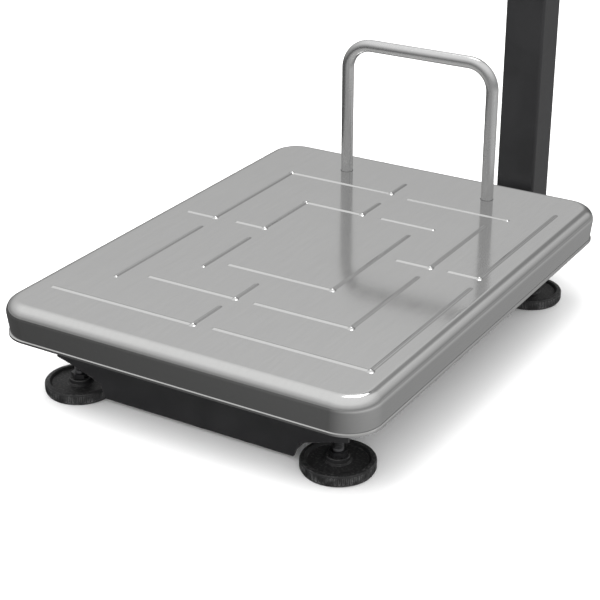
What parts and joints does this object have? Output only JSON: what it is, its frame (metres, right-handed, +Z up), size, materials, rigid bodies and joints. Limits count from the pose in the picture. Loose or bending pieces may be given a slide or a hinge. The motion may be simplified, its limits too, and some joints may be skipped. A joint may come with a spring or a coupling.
{
  "type": "animal weighing scale",
  "caption": "Floor scale for animals: beaded steel pan with skirt, guard rail, levelling feet, rear column and tilting display",
  "frame": {"origin": "on the floor, under the middle of the whole object's bounding box", "axes": "+Z up, +X to the right seen from the front, +Y to the rear; the front edge faces -Y"},
  "size_m": [0.45, 0.7424, 0.9075],
  "materials": {
    "brushed_steel": "brushed stainless sheet and tube",
    "black_paint": "satin black powder coat",
    "zinc_plate": "bright zinc-plated steel",
    "milled_aluminium": "milled, clear anodised",
    "black_rubber": "matt moulded rubber",
    "dark_plastic": "fine-textured ABS",
    "grey_keys": "matt silicone-topped keys",
    "clear_window": "clear acrylic",
    "lcd_glass": "reflective liquid-crystal panel",
    "circuit_board": "green solder mask",
    "battery_wrap": "blue shrink wrap"
  },
  "bodies": {
    "base": {"base_front_channel": "black_paint", "base_rear_channel": "black_paint", "base_centre_beam": "black_paint", "overload_stop_front_left": "zinc_plate", "overload_stop_front_right": "zinc_plate", "overload_stop_rear_left": "zinc_plate", "overload_stop_rear_right": "zinc_plate", "foot_lock_nut_front_left": "zinc_plate", "foot_lock_nut_front_right": "zinc_plate", "foot_lock_nut_rear_left": "zinc_plate", "foot_lock_nut_rear_right": "zinc_plate", "load_cell": "milled_aluminium", "load_cell_spacer_lower": "zinc_plate", "cell_bolt_lower_inner": "zinc_plate", "cell_bolt_lower_outer": "zinc_plate", "column": "black_paint", "column_bracket": "black_paint", "column_bolt_lower": "zinc_plate", "column_bolt_upper": "zinc_plate", "column_grommet": "black_rubber", "spirit_level_body": "milled_aluminium", "spirit_level_lens": "clear_window", "tilt_bracket": "black_paint", "tilt_pin": "zinc_plate"},
    "platform": {"platform_pan": "brushed_steel", "upper_rail_left": "black_paint", "upper_rail_right": "black_paint", "upper_crosshead": "black_paint", "pan_buffer_front_left": "black_rubber", "pan_buffer_front_right": "black_rubber", "pan_buffer_rear_left": "black_rubber", "pan_buffer_rear_right": "black_rubber", "guard_rail": "brushed_steel", "rail_nut_left": "zinc_plate", "rail_nut_right": "zinc_plate", "load_cell_spacer_upper": "zinc_plate", "cell_bolt_upper_inner": "zinc_plate", "cell_bolt_upper_outer": "zinc_plate"},
    "indicator": {"indicator_rear_case": "dark_plastic", "indicator_front_case": "dark_plastic", "display_window": "clear_window", "lcd_module": "lcd_glass", "circuit_board": "circuit_board", "battery": "battery_wrap", "indicator_cable_gland": "dark_plastic", "power_inlet": "zinc_plate"},
    "tilt_knob": {"tilt_knob": "dark_plastic"},
    "foot_pad_front_left": {"foot_pad_front_left": "black_rubber"},
    "foot_stud_front_left": {"foot_stud_front_left": "zinc_plate"},
    "foot_pad_front_right": {"foot_pad_front_right": "black_rubber"},
    "foot_stud_front_right": {"foot_stud_front_right": "zinc_plate"},
    "foot_pad_rear_left": {"foot_pad_rear_left": "black_rubber"},
    "foot_stud_rear_left": {"foot_stud_rear_left": "zinc_plate"},
    "foot_pad_rear_right": {"foot_pad_rear_right": "black_rubber"},
    "foot_stud_rear_right": {"foot_stud_rear_right": "zinc_plate"},
    "key_power": {"key_power": "grey_keys"},
    "key_zero": {"key_zero": "grey_keys"},
    "key_tare": {"key_tare": "grey_keys"},
    "key_hold": {"key_hold": "grey_keys"},
    "key_unit": {"key_unit": "grey_keys"}
  },
  "joints": [
    {"name": "platform_load", "type": "slide", "parent": "base", "child": "platform", "axis": [0, 0, 1], "range_m": [-0.001, 0], "stiffness_N_per_m": 2400000, "deforming": ["load_cell"]},
    {"name": "foot_height_front_left", "type": "slide", "parent": "base", "child": "foot_pad_front_left", "axis": [0, 0, 1], "range_m": [-0.01, 0.002]},
    {"name": "foot_screw_front_left", "type": "hinge", "parent": "foot_pad_front_left", "child": "foot_stud_front_left", "pos_m": [-0.162, -0.30722, 0.02], "axis": [0, 0, 1], "range_deg": [-2060, 414]},
    {"name": "foot_height_front_right", "type": "slide", "parent": "base", "child": "foot_pad_front_right", "axis": [0, 0, 1], "range_m": [-0.01, 0.002]},
    {"name": "foot_screw_front_right", "type": "hinge", "parent": "foot_pad_front_right", "child": "foot_stud_front_right", "pos_m": [0.162, -0.30722, 0.02], "axis": [0, 0, 1], "range_deg": [-2060, 414]},
    {"name": "foot_height_rear_left", "type": "slide", "parent": "base", "child": "foot_pad_rear_left", "axis": [0, 0, 1], "range_m": [-0.01, 0.002]},
    {"name": "foot_screw_rear_left", "type": "hinge", "parent": "foot_pad_rear_left", "child": "foot_stud_rear_left", "pos_m": [-0.162, 0.16478, 0.02], "axis": [0, 0, 1], "range_deg": [-2060, 414]},
    {"name": "foot_height_rear_right", "type": "slide", "parent": "base", "child": "foot_pad_rear_right", "axis": [0, 0, 1], "range_m": [-0.01, 0.002]},
    {"name": "foot_screw_rear_right", "type": "hinge", "parent": "foot_pad_rear_right", "child": "foot_stud_rear_right", "pos_m": [0.162, 0.16478, 0.02], "axis": [0, 0, 1], "range_deg": [-2060, 414]},
    {"name": "indicator_tilt", "type": "hinge", "parent": "base", "child": "indicator", "pos_m": [0.101, 0.26878, 0.758], "axis": [1, 0, 0], "range_deg": [-30, 30]},
    {"name": "tilt_knob_turn", "type": "hinge", "parent": "base", "child": "tilt_knob", "pos_m": [0.135, 0.26878, 0.758], "axis": [1, 0, 0], "range_deg": [0, 270]},
    {"name": "key_press_power", "type": "slide", "parent": "indicator", "child": "key_power", "axis": [0, 0.866, -0.5], "range_m": [0, 0.001], "stiffness_N_per_m": 1500},
    {"name": "key_press_zero", "type": "slide", "parent": "indicator", "child": "key_zero", "axis": [0, 0.866, -0.5], "range_m": [0, 0.001], "stiffness_N_per_m": 1500},
    {"name": "key_press_tare", "type": "slide", "parent": "indicator", "child": "key_tare", "axis": [0, 0.866, -0.5], "range_m": [0, 0.001], "stiffness_N_per_m": 1500},
    {"name": "key_press_hold", "type": "slide", "parent": "indicator", "child": "key_hold", "axis": [0, 0.866, -0.5], "range_m": [0, 0.001], "stiffness_N_per_m": 1500},
    {"name": "key_press_unit", "type": "slide", "parent": "indicator", "child": "key_unit", "axis": [0, 0.866, -0.5], "range_m": [0, 0.001], "stiffness_N_per_m": 1500}
  ],
  "couplings": [
    {"joint": "foot_screw_front_left", "follows": "foot_height_front_left", "rad_per_m": 3590.4},
    {"joint": "foot_screw_front_right", "follows": "foot_height_front_right", "rad_per_m": 3590.4},
    {"joint": "foot_screw_rear_left", "follows": "foot_height_rear_left", "rad_per_m": 3590.4},
    {"joint": "foot_screw_rear_right", "follows": "foot_height_rear_right", "rad_per_m": 3590.4}
  ]
}
